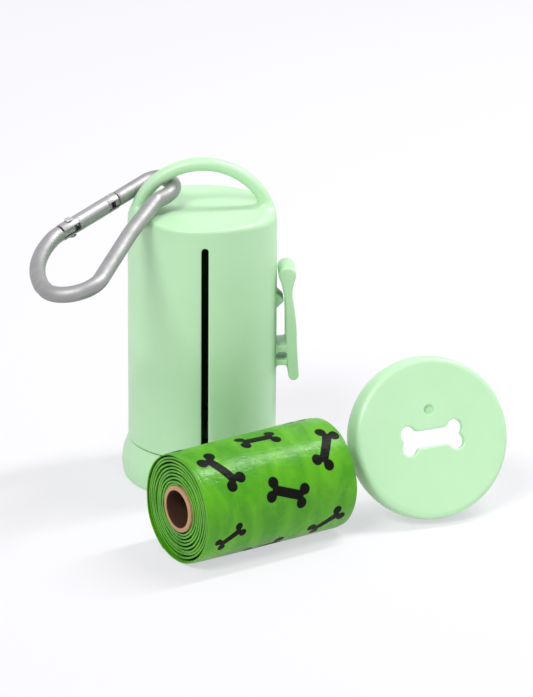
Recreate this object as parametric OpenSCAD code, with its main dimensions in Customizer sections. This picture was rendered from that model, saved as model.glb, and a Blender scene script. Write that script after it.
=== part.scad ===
// Cylindrical dispenser for rolls of waste bags, with its arch handle, screw base,
// used-bag clip, snap hook, one roll of bags and a second base cap standing beside it.
// Millimetres. +Z is up and z = 0 is the surface that everything stands on.
// The dispenser's axis is the Z axis, its slot faces -Y and its clip is on +X.

/* [Housing] */
// Outside diameter of the tube
tube_d = 40; // [38:0.5:46]
// Thickness of the tube's wall
wall_t = 2.2; // [1.6:0.1:2.6]
// Height of the flat top face above the surface
body_h = 76; // [66:1:90]
// Thickness of the closed top
top_t = 2.6; // [1.8:0.1:4]
// Radius of the rounded edge of the top
top_edge_r = 1.3; // [0.6:0.1:2]
// Length of the screw neck under the tube
neck_len = 8.2; // [6:0.2:9]
// Thickness of the screw neck
neck_t = 1.8; // [1.2:0.1:2.2]

/* [Dispensing slot] */
// Width of the slot
slot_w = 1.9; // [1.2:0.1:3]
// Distance from the top face down to the slot's upper end
slot_drop = 5.2; // [4:0.2:12]
// Distance from the seam up to the slot's lower end
slot_rise = 3; // [2:0.5:20]

/* [Arch handle] */
// Height of the arch above the top face
arch_h = 13.7; // [11:0.1:17]
// How far below the top face the arch starts to lean in
arch_drop = 5.2; // [4:0.1:7]
// Thickness of the arch, seen from the front
arch_t = 3.5; // [2.6:0.1:4]
// Depth of the arch from front to back
arch_w = 4.1; // [3.6:0.1:6]
// Half of the angle that the crown's arc covers
crown_half = 50; // [42:1:60]
// Radius of the fillet where a foot of the arch meets the top
foot_fillet_r = 1.6; // [1:0.1:2.4]

/* [Base cap] */
// Height of the cap, up to the seam
cap_h = 11; // [10:0.2:12]
// How far the cap's belly stands out of the tube
cap_belly = 1.7; // [0.8:0.1:3]
// Height of the belly's widest place
cap_belly_z = 4.4; // [3.6:0.1:5]
// Radius of the cap's lower edge
cap_edge_r = 2.2; // [1.4:0.1:2.6]
// Thickness of the cap's floor
cap_floor_t = 2; // [1.4:0.1:2.2]
// Gap of the seam between the cap and the tube
seam_gap = 0.3; // [0.2:0.05:0.5]
// Room between the neck and the cap's wall, for the screw thread
thread_room = 0.5; // [0.3:0.05:0.7]
// Overall length of the bone-shaped hole
bone_len = 17; // [14:0.5:20]
// Overall width across a pair of the bone's knobs
bone_end_w = 7.6; // [6.8:0.1:9]
// Radius of a knob of the bone
bone_knob_r = 1.85; // [1.6:0.05:2.2]
// Width of the bone's shaft
bone_shaft_w = 4.3; // [4:0.1:5]
// Diameter of the blind dimple beside the bone
dimple_d = 2.6; // [2:0.1:3.4]
// Depth of the dimple
dimple_depth = 0.9; // [0.4:0.1:1.1]
// Distance of the dimple from the cap's axis
dimple_offset = 7.5; // [6.5:0.1:10]

/* [Cap standing beside the dispenser] */
// Place of its outer face's centre, to the right of the dispenser
spare_x = 59.7; // [56:0.1:75]
// Place of its outer face's centre, from the back to the front
spare_y = -34.8; // [-45:0.1:-25]
// Angle that it is turned to the right
spare_turn = 16; // [5:1:30]
// Angle that it leans back
spare_lean = 19.5; // [5:0.5:26]
// Angle that it is rolled on its rim
spare_roll = -2.5; // [-20:0.5:20]

/* [Used-bag clip] */
// Width of the clip along Y
clip_w = 9.2; // [7:0.2:12]
// Height of the hinge webs' middle
clip_pivot_z = 35; // [30:0.5:44]
// Distance from the pivot up to the middle of the rounded head
clip_arm = 22.7; // [20:0.1:26]
// Radius of the rounded head
clip_head_r = 2.35; // [2:0.05:2.6]
// Thickness of the lever at its neck
clip_neck_t = 2.5; // [2:0.1:3]
// Thickness of the lever at the webs
clip_bar_t = 3; // [2.4:0.1:3.6]
// Distance from the pivot down to the tail's rounded end
clip_tail = 5.8; // [5:0.1:9]
// Gap between the lever's head and the wall
clip_gap = 0.3; // [0.2:0.05:0.6]
// Height that the tooth stands out of the wall
tooth_h = 1.75; // [1.2:0.05:1.8]
// Length of the tooth along the wall
tooth_len = 5; // [4:0.1:7]
// Width of the tooth along Y
tooth_w = 6; // [4:0.2:8]
// Distance from the pivot up to the tooth's point
tooth_rise = 15.3; // [13:0.1:17]
// Thickness of the upper web
web_upper_t = 1.9; // [1:0.1:2.2]
// Thickness of the lower web
web_lower_t = 1.5; // [1:0.1:2]
// Distance between the middles of the two webs
web_pitch = 3.9; // [3.4:0.1:5]

/* [Snap hook] */
// Diameter of the hook's round bar
rod_d = 4.2; // [3.6:0.1:4.4]
// Outside diameter of the gate
gate_d = 4.5; // [4:0.1:4.8]
// Place along the gate side of the hinge end of the gate
gate_hinge_x = -27.2; // [-28:0.1:-26]
// Length of the gate
gate_len = 20; // [18:0.2:21]
// Distance from the gate's hinge end to its rivet
rivet_inset = 3.4; // [3:0.1:4.2]
// Diameter of the rivet
rivet_d = 1.5; // [1.2:0.1:1.8]
// Diameter of the latch pin
latch_pin_d = 1.1; // [0.9:0.1:1.3]
// Distance from the gate's free end to its latch pin
latch_inset = 1.9; // [1.7:0.1:2.4]
// Thickness of the flat tongues on the bar's two ends
tongue_t = 1.8; // [1.4:0.1:2]
// Turn of the hook about X, then Y, then Z, where it hangs
hook_turn = [-2, -13.6, 41.9];

/* [Roll of bags] */
// Outside diameter of the roll
roll_d = 29.4; // [26:0.2:30]
// Length of the roll
roll_len = 46.6; // [40:0.2:58]
// Outside diameter of its cardboard core
core_d = 12.4; // [10:0.2:14]
// Wall of the cardboard core
core_t = 1.3; // [0.8:0.1:2]
// Place of the roll's middle, to the right of the dispenser
roll_x = 11.1; // [5:0.1:20]
// Place of the roll's middle, from the back to the front
roll_y = -50.7; // [-70:0.1:-48]
// Angle of the roll's axis from the X axis
roll_turn = 31.7; // [15:0.5:45]
// Number of turns of film that the end faces show
film_turns = 6; // [3:1:8]
// Depth of the groove between two turns at the end faces
film_step = 0.9; // [0.4:0.1:2]

/* [Hidden] */

$fn = 96;
eps = 0.01;            // overlap of joined solids and overcut of holes
running_gap = 0.05;    // radial gap of a pin that turns in its hole
joint_gap = 0.1;       // half of the gap that a joint ring closes between two lengths of bar
joint_lip = 0.12;      // how far a joint ring stands out of the bar
arch_inset = 0.03;     // how far the arch's outer face lies inside the leaning shoulders

mint = [0.72, 0.89, 0.71];
metal = [0.74, 0.74, 0.75];
bright_metal = [0.86, 0.86, 0.87];
card = [0.78, 0.6, 0.45];
film = [0.4, 0.72, 0.2];

tube_r = tube_d / 2;
bore_r = tube_r - wall_t;
seam_z = cap_h + seam_gap;
cap_r = tube_r + cap_belly;

// The neck, the room for its thread, and the wall of the cap around them.
neck_r = tube_r - wall_t + 0.4;
neck_bore_r = neck_r - neck_t;
cap_bore_r = neck_r + thread_room;

// The arch is a three-centred one: a crown and two shoulders of smaller radius.
// Its bar's middle line spans arch_a to each side and rises arch_b.
spring_z = body_h - arch_drop;
arch_a = tube_r - arch_inset - arch_t / 2;
arch_b = arch_h + arch_drop - arch_t / 2;
arch_delta = (arch_a - arch_b) / (sin(crown_half) - 1 + cos(crown_half));
shoulder_r = arch_a - arch_delta * sin(crown_half);
crown_r = shoulder_r + arch_delta;
crown_z = spring_z + arch_b - crown_r;
shoulder_x = arch_a - shoulder_r;
shoulder_sweep = 90 - crown_half;

// The cap's belly is one arc, through its widest place and its rim.
belly_drop = cap_belly;
belly_rise = cap_h - cap_belly_z;
belly_r = (belly_drop * belly_drop + belly_rise * belly_rise) / (2 * belly_drop);
belly_x = cap_r - belly_r;
edge_x = belly_x + sqrt(pow(belly_r - cap_edge_r, 2) - pow(cap_belly_z - cap_edge_r, 2));

// The cap beside the dispenser leans back on its belly, which touches the surface.
spare_z = belly_x * cos(spare_lean) + cap_belly_z * sin(spare_lean) + belly_r;

// Places of the clip's lever, seen from the front.
head_x = tube_r + clip_gap + clip_head_r;
head_z = clip_pivot_z + clip_arm;
tail_r = clip_bar_t / 2;
bar_x = tube_r + tooth_h + 0.45;
tail_x = bar_x + 1 + tail_r;
tail_z = clip_pivot_z - clip_tail;
neck_z = head_z - clip_head_r - 1.6;
neck_x = tube_r + 1.4;

// The hook's own frame: x runs along its gate side, y across, z out of its flat.
// Its origin is where the arch's leg passes through it.
rod_r = rod_d / 2;
gate_r = gate_d / 2;
gate_y = 4.7;
gate_end_x = gate_hinge_x + gate_len;
rivet_x = gate_hinge_x + rivet_inset;
latch_x = gate_end_x - latch_inset;
rivet_r = rivet_d / 2;
latch_r = latch_pin_d / 2;
slit = 0.45;                    // gap between the gate and the bar at each end
cheek_gap = 0.15;               // gap between a tongue and the gate's cheek
slot_half = tongue_t / 2 + cheek_gap;
tongue_h = 3.1;                 // height of a tongue across the gate
spring_bore_r = 1.15;           // bore along the gate for the spring

// Corners of the bar's middle line, from the hinge end round to the nose,
// and the radius of the bend at each.
hook_corners = [[-29.6, gate_y], [-42.3, -0.3], [-50.3, -12.6], [-59.3, -35.2],
                [-18.5, -13.4], [-2.6, -6.5], [5.3, -8.3], [9.3, gate_y]];
hook_radii = [9, 36, 9, 7.7, 60, 3.2, 7, 3.6];
hook_start = [gate_hinge_x - slit, gate_y];
hook_end = [gate_end_x + slit, gate_y];

// Where the arch's leg passes through the hook.
leg_angle = 36;
hook_at = [-(shoulder_x + shoulder_r * cos(leg_angle)), 0, spring_z + shoulder_r * sin(leg_angle)];
hook_shift = [0.13, 0.58, -0.24];

roll_r = roll_d / 2;
core_r = core_d / 2;
film_bore_r = core_r + 0.1;
film_pitch = (roll_r - film_bore_r) / (film_turns + 1);
film_groove = film_pitch * 0.3;
film_sides = 24;                // sides of one turn of the grooves

// ---- plane helpers ----

function unit(v) = v / norm(v);
function half_angle(a, p, b) = acos(unit(a - p) * unit(b - p)) / 2;
function tangent_len(a, p, b, r) = r / tan(half_angle(a, p, b));
function leave(a, p, b, r) = p + unit(b - p) * tangent_len(a, p, b, r);
function arrive(a, p, b, r) = p + unit(a - p) * tangent_len(a, p, b, r);
function bend_centre(a, p, b, r) = p + unit(unit(a - p) + unit(b - p)) * r / sin(half_angle(a, p, b));
function heading(v) = atan2(v.y, v.x);
function turn_sign(a, p, b) = sign((p.x - a.x) * (b.y - p.y) - (p.y - a.y) * (b.x - p.x));

// Round bar from a to b, with a joint ring at an end that meets a bend.
module straight_bar(a, b, r, ring_a, ring_b) {
    long = norm(b - a);
    from = ring_a ? joint_gap : 0;
    to = ring_b ? long - joint_gap : long;
    translate([a.x, a.y, 0])
        rotate([0, 90, heading(b - a)]) {
            translate([0, 0, from])
                cylinder(h = to - from, r = r);
            if (ring_a)
                cylinder(h = 4 * joint_gap, r = r + joint_lip, center = true);
            if (ring_b)
                translate([0, 0, long])
                    cylinder(h = 4 * joint_gap, r = r + joint_lip, center = true);
        }
}

// Round bar around the corner p, on the way from a to b.
module bent_bar(a, p, b, bend_r, r) {
    c = bend_centre(a, p, b, bend_r);
    s = arrive(a, p, b, bend_r);
    e = leave(a, p, b, bend_r);
    first = turn_sign(a, p, b) > 0 ? s : e;
    skip = joint_gap / bend_r * 180 / PI;
    translate([c.x, c.y, 0])
        rotate([0, 0, heading(first - c) + skip])
            rotate_extrude(angle = 180 - 2 * half_angle(a, p, b) - 2 * skip)
                translate([bend_r, 0])
                    circle(r = r);
}

// ---- housing ----

// Section of the arch's bar, a band with round edges, grown on all sides by lip.
module arch_section(lip = 0) {
    offset_y = (arch_w - arch_t) / 2;
    for (s = [-1, 1])
        translate([0, s * offset_y])
            circle(r = arch_t / 2 + lip);
    translate([-arch_t / 2 - lip, -offset_y])
        square([arch_t + 2 * lip, 2 * offset_y]);
}

// Arc of the arch in the XZ plane, starting at an angle above +X.
module arch_arc(r, from, sweep) {
    rotate([90, 0, 0])
        rotate([0, 0, from])
            rotate_extrude(angle = sweep)
                translate([r, 0])
                    arch_section();
}

// Ring that joins the crown to the shoulder on one side.
module arch_joint(side) {
    translate([0, 0, crown_z])
        rotate([0, side * crown_half, 0])
            translate([0, 0, crown_r])
                rotate([0, 90, 0])
                    linear_extrude(4 * joint_gap, center = true)
                        arch_section(joint_lip);
}

module arch() {
    crown_skip = joint_gap / crown_r * 180 / PI;
    shoulder_skip = joint_gap / shoulder_r * 180 / PI;
    arm = shoulder_sweep - shoulder_skip;
    translate([0, 0, crown_z])
        arch_arc(crown_r, 90 - crown_half + crown_skip, 2 * (crown_half - crown_skip));
    translate([shoulder_x, 0, spring_z])
        arch_arc(shoulder_r, 0, arm);
    translate([-shoulder_x, 0, spring_z])
        arch_arc(shoulder_r, 180 - arm, arm);
    for (side = [-1, 1])
        arch_joint(side);
}

// Front view of the solid that the tube's top and the arch's feet are cut to.
module lean_outline() {
    translate([-tube_r - 1, 0])
        square([2 * tube_r + 2, spring_z]);
    for (s = [-1, 1])
        translate([s * shoulder_x, spring_z])
            circle(r = shoulder_r + arch_t / 2 + arch_inset);
    translate([-shoulder_x, 0])
        square([2 * shoulder_x, body_h + arch_h / 2]);
}

// Half section of the tube's outside and its neck, to be revolved.
module tube_section() {
    translate([0, seam_z])
        square([tube_r, body_h - top_edge_r - seam_z]);
    square([tube_r - top_edge_r, body_h]);
    translate([tube_r - top_edge_r, body_h - top_edge_r])
        circle(r = top_edge_r);
}

module tube_solid() {
    rotate_extrude()
        intersection() {
            tube_section();
            translate([0, seam_z])
                square([2 * tube_r, body_h]);
        }
    translate([0, 0, seam_z - neck_len])
        cylinder(h = neck_len + 1, r = neck_r);
}

// Concave skirt around the foot of the arch, on the right or on the left.
module foot_fillet(side) {
    rise = arch_drop + foot_fillet_r * 0.6;
    foot_x = side * (shoulder_x + sqrt(pow(shoulder_r, 2) - pow(rise, 2)));
    inner_r = arch_w / 2 - 0.2;
    skirt_r = inner_r + foot_fillet_r;
    translate([foot_x, 0, body_h - 0.2])
        rotate_extrude()
            difference() {
                square([skirt_r, foot_fillet_r + 0.2]);
                translate([skirt_r, foot_fillet_r + 0.2])
                    circle(r = foot_fillet_r);
            }
}

// Wedge on the wall that the clip's lever presses a bag against.
module clip_tooth() {
    low = clip_pivot_z + tooth_rise - tooth_len / 2;
    sunk = wall_t / 2;
    flush = sunk - 0.5;
    translate([tube_r - sunk, tooth_w / 2, low])
        rotate([90, 0, 0])
            linear_extrude(tooth_w)
                polygon([[0, 0], [flush, 0], [sunk + tooth_h, tooth_len / 2],
                         [flush, tooth_len], [0, tooth_len]]);
}

module slot_cut() {
    low = seam_z + slot_rise + slot_w / 2;
    high = body_h - slot_drop - slot_w / 2;
    for (z = [low, high])
        translate([0, -bore_r / 2, z])
            rotate([90, 0, 0])
                cylinder(h = tube_r, d = slot_w);
    translate([-slot_w / 2, -bore_r / 2 - tube_r, low])
        cube([slot_w, tube_r, high - low]);
}

module housing() {
    color(mint)
    difference() {
        union() {
            intersection() {
                union() {
                    tube_solid();
                    for (side = [-1, 1])
                        foot_fillet(side);
                }
                translate([0, tube_d, 0])
                    rotate([90, 0, 0])
                        linear_extrude(2 * tube_d)
                            lean_outline();
            }
            arch();
            clip_tooth();
        }
        translate([0, 0, seam_z - neck_len - 1])
            cylinder(h = neck_len + 3, r = neck_bore_r);
        translate([0, 0, seam_z + 1])
            cylinder(h = body_h - top_t - seam_z - 1, r = bore_r);
        slot_cut();
    }
}

// ---- base cap ----

module cap_outline() {
    intersection() {
        translate([belly_x, cap_belly_z])
            circle(r = belly_r, $fn = 180);
        translate([0, cap_edge_r])
            square([2 * cap_r, cap_h - cap_edge_r]);
    }
    square([edge_x, cap_h]);
    translate([edge_x, cap_edge_r])
        circle(r = cap_edge_r);
}

module bone_outline() {
    knob_x = bone_len / 2 - bone_knob_r;
    knob_y = bone_end_w / 2 - bone_knob_r;
    square([2 * knob_x, bone_shaft_w], center = true);
    for (sx = [-1, 1], sy = [-1, 1])
        translate([sx * knob_x, sy * knob_y])
            circle(r = bone_knob_r);
}

// Screw cap with its outer face at z = 0 and its open side up.
module cap() {
    color(mint)
    difference() {
        rotate_extrude()
            intersection() {
                cap_outline();
                square([2 * cap_r, cap_h]);
            }
        translate([0, 0, cap_floor_t])
            cylinder(h = cap_h, r = cap_bore_r);
        translate([0, 0, -eps])
            linear_extrude(cap_floor_t + 2 * eps)
                bone_outline();
        translate([0, dimple_offset, -eps])
            cylinder(h = dimple_depth + eps, d = dimple_d);
    }
}

module base_cap() {
    cap();
}

module loose_cap() {
    translate([spare_x, spare_y, spare_z])
        rotate([0, 0, spare_turn])
            rotate([-90 - spare_lean, 0, 0])
                rotate([0, 0, 180 + spare_roll])
                    cap();
}

// ---- used-bag clip ----

// Side of the lever: a round head, a slim neck and a bar that swells to a round tail.
module lever_outline() {
    translate([head_x, head_z])
        circle(r = clip_head_r);
    translate([tail_x, tail_z])
        circle(r = tail_r);
    polygon([[head_x - clip_head_r * cos(20), head_z - clip_head_r * sin(20)],
             [neck_x, neck_z],
             [bar_x, clip_pivot_z + tooth_rise],
             [bar_x, clip_pivot_z],
             [tail_x - tail_r, tail_z],
             [tail_x + tail_r, tail_z],
             [bar_x + clip_bar_t, clip_pivot_z],
             [neck_x + clip_neck_t + 0.3, clip_pivot_z + tooth_rise],
             [neck_x + clip_neck_t, neck_z],
             [head_x + clip_head_r * cos(35), head_z - clip_head_r * sin(35)]]);
}

module bag_clip() {
    color(mint)
    translate([0, clip_w / 2, 0])
        rotate([90, 0, 0])
            linear_extrude(clip_w)
                lever_outline();
}

// Two flexible webs that carry the lever and are its hinge.
module clip_webs() {
    color(mint)
    difference() {
        for (w = [[web_pitch / 2, web_upper_t], [-web_pitch / 2, web_lower_t]])
            translate([tube_r / 2, -clip_w / 2, clip_pivot_z + w[0] - w[1] / 2])
                cube([tube_r, clip_w, w[1]]);
        cylinder(h = body_h, r = tube_r);
        translate([0, clip_w, 0])
            rotate([90, 0, 0])
                linear_extrude(2 * clip_w)
                    lever_outline();
        translate([bar_x + clip_bar_t / 2, -clip_w, 0])
            cube([tube_r, 2 * clip_w, body_h]);
    }
}

// ---- snap hook ----

module hung() {
    translate(hook_at + hook_shift)
        rotate(hook_turn)
            children();
}

// Middle line of the bar, as its end points and corners.
function route() = concat([hook_start], hook_corners, [hook_end]);

module bar_run() {
    p = route();
    last = len(p) - 1;
    for (i = [1 : last - 1])
        bent_bar(p[i - 1], p[i], p[i + 1], hook_radii[i - 1], rod_r);
    for (i = [0 : last - 1]) {
        a = i == 0 ? p[0] : leave(p[i - 1], p[i], p[i + 1], hook_radii[i - 1]);
        b = i == last - 1 ? p[last] : arrive(p[i], p[i + 1], p[i + 2], hook_radii[i]);
        straight_bar(a, b, rod_r, i > 0, i < last - 1);
    }
}

// Tongue on the hinge end of the bar, inside the gate's fork.
module hinge_tongue() {
    reach = rivet_x - gate_hinge_x + tongue_h / 2;
    difference() {
        union() {
            translate([gate_hinge_x - slit - 1, gate_y - tongue_h / 2, -tongue_t / 2])
                cube([reach + slit + 1 - tongue_h / 2, tongue_h, tongue_t]);
            translate([rivet_x, gate_y, -tongue_t / 2])
                cylinder(h = tongue_t, d = tongue_h);
        }
        translate([rivet_x, gate_y, -tongue_t])
            cylinder(h = 2 * tongue_t, r = rivet_r);
    }
}

// Tongue on the nose, with the notch that the latch pin rises into from inside.
module nose_tongue() {
    tip = latch_x - latch_r - 1.1;
    difference() {
        translate([tip, gate_y - tongue_h / 2, -tongue_t / 2])
            cube([gate_end_x + slit + 1 - tip, tongue_h, tongue_t]);
        translate([latch_x, gate_y, -tongue_t])
            cylinder(h = 2 * tongue_t, r = latch_r + 0.2);
        translate([latch_x - latch_r - 0.2, gate_y - tongue_h, -tongue_t])
            cube([2 * latch_r + 0.4, tongue_h, 2 * tongue_t]);
    }
}

module hook_bar() {
    color(metal)
    hung() {
        bar_run();
        hinge_tongue();
        nose_tongue();
    }
}

module gate_slots() {
    deep = rivet_inset + tongue_h / 2 + 0.5;
    translate([gate_hinge_x - eps, gate_y - gate_d, -slot_half])
        cube([deep, 2 * gate_d, 2 * slot_half]);
    nose_deep = latch_inset + latch_r + 1.5;
    translate([gate_end_x - nose_deep, gate_y - gate_d, -slot_half])
        cube([nose_deep + eps, 2 * gate_d, 2 * slot_half]);
}

module hook_gate() {
    color(metal)
    hung()
        difference() {
            translate([gate_hinge_x, gate_y, 0])
                rotate([0, 90, 0])
                    cylinder(h = gate_len, r = gate_r);
            gate_slots();
            translate([gate_hinge_x + rivet_inset, gate_y, 0])
                rotate([0, 90, 0])
                    cylinder(h = gate_len / 2, r = spring_bore_r);
            translate([rivet_x, gate_y, -gate_d])
                cylinder(h = 2 * gate_d, r = rivet_r + running_gap);
            translate([latch_x, gate_y, -gate_d])
                cylinder(h = 2 * gate_d, r = latch_r);
        }
}

// Rivet through the gate's cheeks and the bar's tongue, with a flat round head each side.
module gate_rivet() {
    head_r = rivet_r + 0.45;
    head_t = 0.35;
    reach = gate_r + 0.1;
    color(bright_metal)
    hung()
        translate([rivet_x, gate_y, 0]) {
            cylinder(h = 2 * reach, r = rivet_r, center = true);
            for (s = [-1, 1])
                translate([0, 0, s * (reach + head_t / 2)])
                    cylinder(h = head_t, r = head_r, center = true);
        }
}

module latch_pin() {
    reach = sqrt(pow(gate_r, 2) - pow(latch_r, 2));
    color(bright_metal)
    hung()
        translate([latch_x, gate_y, -reach])
            cylinder(h = 2 * reach, r = latch_r);
}

// The plunger and spring lie in the gate's bore and press on the end of the tongue.
plunger_len = 2.4;
plunger_x = rivet_x + tongue_h / 2 + 0.12;
spring_x = plunger_x + plunger_len + 0.05;
spring_end_x = gate_hinge_x + rivet_inset + gate_len / 2 - 0.05;

module gate_plunger() {
    color(bright_metal)
    hung()
        translate([plunger_x, gate_y, 0])
            rotate([0, 90, 0])
                cylinder(h = plunger_len, r = spring_bore_r - running_gap);
}

// Envelope of the fine coil spring: a sleeve as thick as its wire.
module gate_spring() {
    wire = 0.4;
    color(bright_metal)
    hung()
        translate([spring_x, gate_y, 0])
            rotate([0, 90, 0])
                difference() {
                    cylinder(h = spring_end_x - spring_x, r = spring_bore_r - running_gap);
                    translate([0, 0, -eps])
                        cylinder(h = gate_len, r = spring_bore_r - running_gap - wire);
                }
}

// ---- roll of bags ----

module laid_roll() {
    translate([roll_x, roll_y, roll_r])
        rotate([0, 90, roll_turn])
            children();
}

module roll_core() {
    color(card)
    laid_roll()
        difference() {
            cylinder(h = roll_len, r = core_r, center = true);
            cylinder(h = roll_len + 2 * eps, r = core_r - core_t, center = true);
        }
}

// Point of the spiral groove after t turns, off the groove's middle by side.
function spiral_point(t, side) =
    (film_bore_r + film_pitch * (0.7 + t) + side * film_groove / 2) * [cos(360 * t), sin(360 * t)];

module spiral_groove() {
    steps = film_turns * film_sides - film_sides / 2;
    outer = [for (i = [0 : steps]) spiral_point(i / film_sides, 1)];
    inner = [for (i = [0 : steps]) spiral_point((steps - i) / film_sides, -1)];
    linear_extrude(film_step + eps)
        polygon(concat(outer, inner));
}

module wound_bags() {
    color(film)
    laid_roll()
        difference() {
            cylinder(h = roll_len - 0.4, r = roll_r, center = true);
            cylinder(h = roll_len, r = film_bore_r, center = true);
            translate([0, 0, (roll_len - 0.4) / 2 - film_step])
                spiral_groove();
            translate([0, 0, -(roll_len - 0.4) / 2 - eps])
                spiral_groove();
        }
}

housing();
base_cap();
loose_cap();
bag_clip();
clip_webs();
hook_bar();
hook_gate();
gate_rivet();
gate_spring();
gate_plunger();
latch_pin();
roll_core();
wound_bags();
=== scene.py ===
"""Looks for the bag dispenser, its roll of bags and its second base cap.

Every length is in millimetres until mesh() writes it in metres. z = 0 is the floor,
the dispenser's axis is Z, its slot faces -Y and its clip is on +X.
"""

from math import acos, asin, atan2, copysign, cos, degrees, pi, radians, sin, sqrt, tan

import bmesh
import bpy
import numpy as np
from mathutils import Euler, Matrix, Vector
from mathutils.geometry import delaunay_2d_cdt
from numpy.linalg import norm


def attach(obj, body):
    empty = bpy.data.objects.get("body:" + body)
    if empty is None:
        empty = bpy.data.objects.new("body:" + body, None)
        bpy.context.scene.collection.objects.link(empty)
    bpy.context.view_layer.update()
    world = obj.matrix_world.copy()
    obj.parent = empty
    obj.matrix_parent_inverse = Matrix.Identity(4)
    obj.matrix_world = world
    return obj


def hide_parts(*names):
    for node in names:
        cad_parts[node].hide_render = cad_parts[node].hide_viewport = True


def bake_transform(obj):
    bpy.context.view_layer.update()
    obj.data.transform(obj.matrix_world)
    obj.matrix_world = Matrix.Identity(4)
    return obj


MM = 0.001
TAU = 2 * pi

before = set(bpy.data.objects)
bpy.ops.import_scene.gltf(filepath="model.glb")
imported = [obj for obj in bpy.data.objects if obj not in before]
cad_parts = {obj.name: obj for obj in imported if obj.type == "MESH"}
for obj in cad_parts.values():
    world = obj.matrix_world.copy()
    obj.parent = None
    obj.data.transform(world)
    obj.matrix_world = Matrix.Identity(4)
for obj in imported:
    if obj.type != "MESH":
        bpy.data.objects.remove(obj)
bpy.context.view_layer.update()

# ---- sizes, as in the CAD source
TUBE_R, WALL, BODY_H, TOP_T = 20.0, 2.2, 76.0, 2.6
BORE_R = TUBE_R - WALL
SEAM_Z, NECK_R, NECK_BORE, NECK_LOW = 11.3, 18.2, 16.4, 3.1
ARCH_T, ARCH_W, SPRING_Z = 3.5, 4.1, 70.8
SHOULDER_R, SHOULDER_X = 16.215, 2.005
CROWN_R, CROWN_Z, CROWN_HALF = 18.832, 69.118, radians(50)
SLOT_W, SLOT_LOW, SLOT_HIGH = 1.9, 14.3, 70.8
CAP_R, CAP_H, BELLY_Z, CAP_EDGE, FLOOR_T, CAP_BORE = 21.7, 11.0, 4.4, 1.6, 2.0, 18.7
BELLY_ARC = (1.7 ** 2 + 6.6 ** 2) / (2 * 1.7)
BELLY_X = CAP_R - BELLY_ARC
SKIN = 0.03                                  # the tube's leaning sides stand proud of the arch
FOOT_CLIP_SIDE, FOOT_HOOK_SIDE = 3.0, 1.6    # blends at the feet of the arch
THREAD_PITCH, THREAD_WIRE, THREAD_H = 2.6, 0.42, 4.6


# ---- mesh helpers
def quad(a, b, i, n):
    """Face between rows a and b of point numbers at column i of n. A row of one is a pole."""
    k = (i + 1) % n
    ids = [a[i % len(a)], a[k % len(a)], b[k % len(b)], b[i % len(b)]]
    return tuple(q for t, q in enumerate(ids) if q not in ids[:t])


class Solid:
    """Points and faces of one piece, gathered from closed shells."""

    def __init__(self):
        self.points, self.faces, self.count = [], [], 0

    def add(self, points, faces):
        points = np.asarray(points, float).reshape(-1, 3)
        self.faces += [tuple(int(i) + self.count for i in f) for f in faces]
        self.points.append(points)
        self.count += len(points)
        return self

    def loft(self, loops, caps=True, ring=False):
        """Skin over closed loops of as many points each; caps close the ends, ring joins them."""
        loops = [np.asarray(loop, float) for loop in loops]
        n, m = len(loops[0]), len(loops)
        faces = []
        for j in range(m if ring else m - 1):
            k = (j + 1) % m
            faces += [(j * n + i, j * n + (i + 1) % n, k * n + (i + 1) % n, k * n + i)
                      for i in range(n)]
        if caps and not ring:
            faces += [tuple(range(n))[::-1], tuple((m - 1) * n + i for i in range(n))]
        return self.add(np.vstack(loops), faces)

    def revolve(self, profile, steps=192):
        """Closed shell from an (r, z) profile; a point at r = 0 becomes one pole."""
        rows, ids, total = [], [], 0
        for r, z in profile:
            if r < 1e-6:
                rows.append(np.array([[0, 0, z]]))
            else:
                a = np.arange(steps) * TAU / steps
                rows.append(np.stack([r * np.cos(a), r * np.sin(a), np.full(steps, z)], 1))
            ids.append(range(total, total + len(rows[-1])))
            total += len(rows[-1])
        faces = []
        closed = profile[0][0] > 1e-6
        for j in range(len(rows) if closed else len(rows) - 1):
            a, b = ids[j], ids[(j + 1) % len(rows)]
            faces += [quad(a, b, i, steps) for i in range(steps)]
        return self.add(np.vstack(rows), faces)


def face_outwards(data, weld=0):
    """Turns the faces of a mesh outwards, after joining points closer than weld millimetres."""
    bm = bmesh.new()
    bm.from_mesh(data)
    if weld:
        bmesh.ops.remove_doubles(bm, verts=bm.verts, dist=weld * MM)
    bmesh.ops.recalc_face_normals(bm, faces=bm.faces)
    bm.to_mesh(data)
    bm.free()


def new_object(name, data):
    ob = bpy.data.objects.new(name, data)
    bpy.context.scene.collection.objects.link(ob)
    return ob


def evaluated(ob):
    """Mesh of an object after its modifiers; the object itself is taken away."""
    bpy.context.view_layer.update()
    graph = bpy.context.evaluated_depsgraph_get()
    data = bpy.data.meshes.new_from_object(ob.evaluated_get(graph))
    ob.modifiers.clear()
    bpy.data.objects.remove(ob)
    return data


def in_metres(place):
    out = place.copy()
    out.translation = out.translation * MM
    return out


def mesh(name, solid, material, body, nodes=(), smooth=32, place=None, weld=0.002):
    """Object from a Solid, normals outwards, edges sharper than smooth degrees kept sharp."""
    points = np.vstack(solid.points)
    if place is not None:
        points = points @ np.array(place.to_3x3()).T + np.array(place.translation)
    data = bpy.data.meshes.new(name)
    data.from_pydata((points * MM).tolist(), [], solid.faces)
    face_outwards(data, weld)
    return finish_mesh(name, data, material, body, nodes, smooth)


def finish_mesh(name, data, material, body, nodes=(), smooth=32):
    """Object from a mesh in metres, with its material, its body and what it stands for."""
    data.shade_smooth()
    if smooth:
        data.set_sharp_from_angle(angle=radians(smooth))
    ob = new_object(name, data)
    data.materials.clear()
    data.materials.append(material)
    if body:
        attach(ob, body)
    if nodes:
        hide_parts(*nodes)
    return ob


def arc(centre, r, a0, a1, steps):
    """Points of an arc in the plane, angles in degrees."""
    a = np.radians(np.linspace(a0, a1, steps + 1))
    return [(centre[0] + r * cos(t), centre[1] + r * sin(t)) for t in a]


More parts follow.
